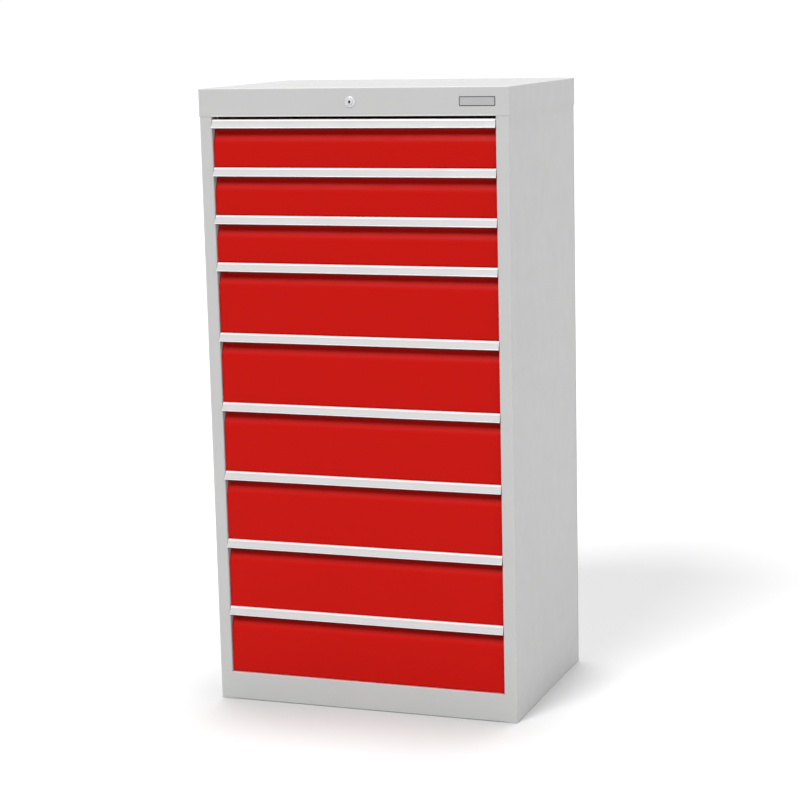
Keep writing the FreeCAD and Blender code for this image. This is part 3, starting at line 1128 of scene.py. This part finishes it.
@dataclass(frozen=True)
class Lock(Part):
    """Chromed cam lock in the fascia: a rosette with its barrel, the nut and the turning plug."""

    rosette_radius: float = 0.0115
    rosette_out: float = 0.0024
    barrel_radius: float = 0.0093
    barrel_length: float = 0.018
    bore: float = 0.00655
    mouth_width: float = 0.0007
    mouth_depth: float = 0.0006
    nut_near: float = 0.0012
    nut_far: float = 0.0042
    nut_radius: float = 0.01385
    plug_radius: float = 0.0065
    plug_out: float = 0.0036
    plug_edge: float = 0.0006
    plug_back: float = 0.0185
    keyhole_round: float = 0.0027
    keyhole_width: float = 0.0011
    keyhole_height: float = 0.0084
    keyhole_depth: float = 0.007
    skin: float = 1e-4

    def place(self) -> Vector:
        """Finds the lock.

        Returns:
            Its middle, in the plane of the fascia.
        """
        low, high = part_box("lock_plug")
        return Vector((0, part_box("side_panel_left")[0].y, (low.z + high.z) / 2))

    def build(self) -> None:
        """Builds the whole lock."""
        self.housing()
        self.plug()

    def housing(self) -> None:
        """Builds the rosette, barrel and nut."""
        ahead = Vector((0, -1, 0))
        crown = self.rosette_out
        profile = [
            (-self.barrel_length, self.bore),
            (-self.barrel_length, self.barrel_radius),
            (0.0, self.barrel_radius),
            (0.0, self.rosette_radius),
            *(
                (crown * math.sin(angle), self.rosette_radius - crown * (1 - math.cos(angle)))
                for angle in (0.4, 0.8, 1.2)
            ),
            (crown, self.rosette_radius - crown),
            (crown, self.bore + self.mouth_width),
            (crown - self.mouth_depth, self.bore),
        ]
        bm = bmesh.new()
        add_lathe(bm, profile, self.place(), ahead, steps=64, closed=True)
        nut = [
            (-self.nut_near, self.barrel_radius),
            (-self.nut_near, self.nut_radius),
            (-self.nut_far, self.nut_radius),
            (-self.nut_far, self.barrel_radius),
        ]
        add_lathe(bm, nut, self.place(), ahead, steps=6, closed=True)
        piece = finish_mesh("lock_rosette", bm, self.finishes.chrome)
        keep(piece, "cabinet", ["lock_housing"])

    def keyhole(self) -> list[Point2]:
        """Draws the keyhole round the lock's middle: a hole with a slot above and below it.

        Returns:
            The outline as (x, z).
        """
        half, reach = self.keyhole_width / 2, self.keyhole_height / 2
        lean = math.degrees(math.asin(half / self.keyhole_round))
        right = arc((0.0, 0.0), self.keyhole_round, lean - 90, 90 - lean, 12)
        side = [*right, (half, reach), (-half, reach)]
        return side + [(-x, -z) for x, z in side]

    def plug(self) -> None:
        """Builds the plug with its keyhole cut in."""
        place = self.place()
        profile = [
            (-self.plug_back, 0.0),
            (-self.plug_back, self.plug_radius),
            (self.plug_out - self.plug_edge, self.plug_radius),
            (self.plug_out, self.plug_radius - self.plug_edge),
            (self.plug_out, 0.0),
        ]
        bm = bmesh.new()
        add_lathe(bm, profile, place, Vector((0, -1, 0)), steps=64)
        body = linked("lock_plug_face", mesh_from(bm, "plug"))
        outline = [(place.x + x, place.z + z) for x, z in self.keyhole()]
        floor = place.y - self.plug_out + self.keyhole_depth
        bm = bmesh.new()
        add_section(bm, [(place.y - self.plug_out - MM, outline), (floor, outline)], axis=1)
        cutter = linked("keyhole", mesh_from(bm, "keyhole"))
        cut = body.modifiers.new("keyhole", "BOOLEAN")
        cut.object = cutter
        cut.solver = "EXACT"
        piece = applied(body, self.finishes.chrome, 32.0)
        bpy.data.objects.remove(cutter)
        piece.data.materials.append(self.finishes.keyway)
        slack = 1e-5
        for polygon in piece.data.polygons:
            offset = polygon.center - place
            central = Vector((offset.x, offset.z)).length < self.keyhole_height / 2 + slack
            if central and -self.plug_out + self.skin < offset.y < floor - place.y + slack:
                polygon.material_index = 1
        keep(piece, "lock", ["lock_plug"])


@dataclass(frozen=True)
class NamePlate(Part):
    """Blank plate with a dark border, part border and part painted shade for the shadow along the plate's
    edges.
    """

    corner: float = 0.0012
    rim: float = 0.0016
    recess: float = 0.00015

    def slab(self, low: Vector, high: Vector, corner: float) -> BMesh:
        """A thin slab with rounded corners in the XZ plane.

        Args:
            low: Lowest corner.
            high: Highest corner.
            corner: Radius of its corners.

        Returns:
            The slab.
        """
        centres = (
            (high.x - corner, high.z - corner, 0),
            (low.x + corner, high.z - corner, 90),
            (low.x + corner, low.z + corner, 180),
            (high.x - corner, low.z + corner, 270),
        )
        outline = []
        for x, z, start in centres:
            outline += arc((x, z), corner, start, start + 90, 6)
        bm = bmesh.new()
        add_section(bm, [(low.y, outline), (high.y, outline)], axis=1)
        return bm

    def build(self) -> None:
        """Builds the border and the bare face."""
        low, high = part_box("nameplate")
        behind = Vector((0, self.recess, 0))
        rim = self.slab(low + behind, high, self.corner)
        border = finish_mesh("nameplate_border", rim, self.finishes.plate_border_shade, bevel=SMALL_BEVEL)
        keep(border, "cabinet", ["nameplate"])
        shrink = Vector((self.rim, 0, self.rim))
        front_low = low + shrink
        front_high = Vector((high.x, low.y + 2 * self.recess, high.z)) - shrink
        inner = self.slab(front_low, front_high, self.corner / 2)
        face = finish_mesh("nameplate_face", inner, self.finishes.plate)
        keep(face, "cabinet")


@dataclass(frozen=True)
class FasciaHem(Part):
    """Hem folded along the lower edge of the fascia, leaning slightly forward towards its foot."""

    height: float = 0.0033
    proud: float = 0.0016
    above_edge: float = 0.0002
    edge: float = 0.0002

    def build(self) -> None:
        """Builds the hem."""
        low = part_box("top_cover")[0]
        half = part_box("side_panel_right")[0].x
        foot = low.z + self.above_edge
        outline = [
            (low.y + self.edge, foot + self.height),
            (low.y, foot + self.height),
            (low.y - self.proud, foot + self.edge),
            (low.y - self.proud + self.edge, foot),
            (low.y + self.edge, foot),
        ]
        bm = bmesh.new()
        add_section(bm, [(-half, outline), (half, outline)])
        piece = finish_mesh("fascia_hem", bm, self.finishes.casing, smooth_angle=20.0)
        keep(piece, "cabinet")


@dataclass(frozen=True)
class GroundSeams(Part):
    """Painted seams between the base panel and the posts, welded and ground flush."""

    half_width: float = 0.0028
    proud: float = 0.00006
    depth: float = 0.0004

    def build(self) -> None:
        """Builds both seams."""
        low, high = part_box("base_panel")
        bm = bmesh.new()
        for side in (-1, 1):
            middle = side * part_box("side_panel_right")[0].x
            near = Vector((middle - self.half_width, low.y - self.proud, low.z + MM))
            add_block(bm, near, Vector((middle + self.half_width, low.y + self.depth, high.z - MM)))
        piece = finish_mesh("ground_seams", bm, self.finishes.casing)
        keep(piece, "cabinet")


class Casing:
    """Finishes of the construction that shows as it is: sheet casing, trays, rails and locking bar."""

    BY_NODE = {
        "side_panel": "casing",
        "top_cover": "casing",
        "back_panel": "casing",
        "base_panel": "casing",
        "mounting_uprights": "zinc",
        "cabinet_rails": "zinc",
        "lock_cam": "zinc",
        "locking_bar": "zinc",
        "bar_guides": "guide",
        "lock_housing": "chrome",
        "lock_plug": "chrome",
        "nameplate": "plate",
        "casing_screws": "screw",
    }
    BY_PART = {"tray": "tray", "front": "front", "handle": "grip", "carriage": "roller"}

    def finish_for(self, node: str) -> str:
        """Which finish a construction node takes.

        Args:
            node: The node's name.

        Returns:
            The finish's attribute name in Finishes.
        """
        if node.startswith("drawer_"):
            return self.BY_PART[node.split("_", 2)[2]]
        return next(finish for start, finish in self.BY_NODE.items() if node.startswith(start))

    def dress(self, nodes: dict[str, Object], finishes: Finishes) -> None:
        """Gives every construction node its finish.

        Args:
            nodes: Construction nodes by name.
            finishes: The cabinet's finishes.
        """
        for name, node in nodes.items():
            node.data.materials.clear()
            node.data.materials.append(getattr(finishes, self.finish_for(name)))
        LOG.info("dressed %d construction nodes", len(nodes))


@dataclass(frozen=True)
class Studio:
    """Pale floor, soft light and the camera."""

    lens: float = 99.95
    shift: tuple[float, float] = (-0.05, 0.02)
    place: tuple[float, float, float] = (1.6802, -4.4951, 1.4740)
    yaw: float = -19.396
    pitch: float = -10.364
    roll: float = -1.173
    horizon: float = 1.03
    sky: float = 0.18
    fade_start: float = 0.012
    fade_end: float = 0.09
    floor_half: float = 40.0
    floor_below: float = 0.0005
    floor_colour: Colour = (0.48, 0.48, 0.48)
    lamp_distance: float = 5.0

    def floor(self) -> None:
        """Builds the floor, kept out of the object."""
        bm = bmesh.new()
        half = self.floor_half
        corners = ((-half, -half), (half, -half), (half, half), (-half, half))
        bm.faces.new([bm.verts.new((x, y, -self.floor_below)) for x, y in corners])
        graph = NodeGraph("pale_floor")
        graph.tinted(self.floor_colour, 0.01, graph.pattern(Pattern(1.2, 2.0)))
        graph.set(Roughness=0.9, Specular_IOR_Level=0.1)
        floor = finish_mesh("studio_floor", bm, graph.material)

    def light(self, name: str, towards: Vector, spread: float, strength: float) -> None:
        """Builds one broad, distant light.

        Args:
            name: The light's name.
            towards: Direction from the cabinet to the light.
            spread: Angle that the light fills, in degrees.
            strength: Watts per square metre.
        """
        data = bpy.data.lights.new(name, "SUN")
        data.angle = math.radians(spread)
        data.energy = strength
        lamp = linked(name, data)
        lamp.rotation_euler = towards.to_track_quat("Z", "Y").to_euler()
        lamp.location = towards.normalized() * self.lamp_distance

    def world(self) -> None:
        """Pale surroundings that dim from the horizon upwards."""
        world = bpy.data.worlds.new("surroundings")
        world.use_nodes = True
        tree = world.node_tree
        background = tree.nodes["Background"]
        background.inputs["Color"].default_value = (1.0, 1.0, 1.0, 1.0)
        where = add_node(tree, "ShaderNodeTexCoord")
        split = add_node(tree, "ShaderNodeSeparateXYZ", {"Vector": where.outputs["Generated"]})
        inputs = {"Value": split.outputs["Z"], "From Min": self.fade_start, "From Max": self.fade_end}
        inputs |= {"To Min": self.horizon, "To Max": self.sky}
        fade = add_node(tree, "ShaderNodeMapRange", inputs)
        tree.links.new(fade.outputs["Result"], background.inputs["Strength"])
        bpy.context.scene.world = world

    def camera(self) -> None:
        """Builds the camera and makes it the scene's."""
        data = bpy.data.cameras.new("camera")
        data.sensor_width = 36.0
        data.lens = self.lens
        data.shift_x, data.shift_y = self.shift
        data.clip_end = 200.0
        yaw, pitch, roll = (math.radians(angle) for angle in (self.yaw, self.pitch, self.roll))
        ahead = Vector((math.sin(yaw) * math.cos(pitch), math.cos(yaw) * math.cos(pitch), math.sin(pitch)))
        right = ahead.cross(Vector((0, 0, 1))).normalized()
        up = right.cross(ahead)
        turned = right * math.cos(roll) + up * math.sin(roll)
        upright = up * math.cos(roll) - right * math.sin(roll)
        axes = Matrix((turned, upright, -ahead)).transposed().to_4x4()
        camera = linked("camera", data)
        camera.matrix_world = Matrix.Translation(Vector(self.place)) @ axes
        bpy.context.scene.camera = camera

    def build(self) -> None:
        """Builds the whole studio."""
        self.floor()
        self.world()
        self.light("key", Vector((-0.12, -0.4, 0.45)), spread=22.0, strength=3.25)
        self.light("fill", Vector((1.0, -0.05, 0.3)), spread=60.0, strength=2.2)
        self.light("overhead", Vector((-0.02, 0.13, 1.0)), spread=20.0, strength=3.95)
        self.camera()
        settings = bpy.context.scene.view_settings
        settings.view_transform = "Standard"
        settings.look = "None"


def main() -> None:
    """Builds the looks of the cabinet."""
    logging.basicConfig(level=logging.INFO, format="%(message)s")
    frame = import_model()
    finishes = Finishes()
    Casing().dress(frame["nodes"], finishes)
    drawers = sorted(int(name.split("_")[1]) for name in frame["bodies"] if name.startswith("drawer_"))
    for number in drawers:
        at = Levels.of(number)
        for part in (DrawerFront, GripStrip, RunnerRivets, Carriage):
            part(finishes).build(at)
    for part in (Lock, NamePlate, RearScrews, GroundSeams, FasciaHem):
        part(finishes).build()
    Studio().build()


if __name__ == "__main__":
    main()
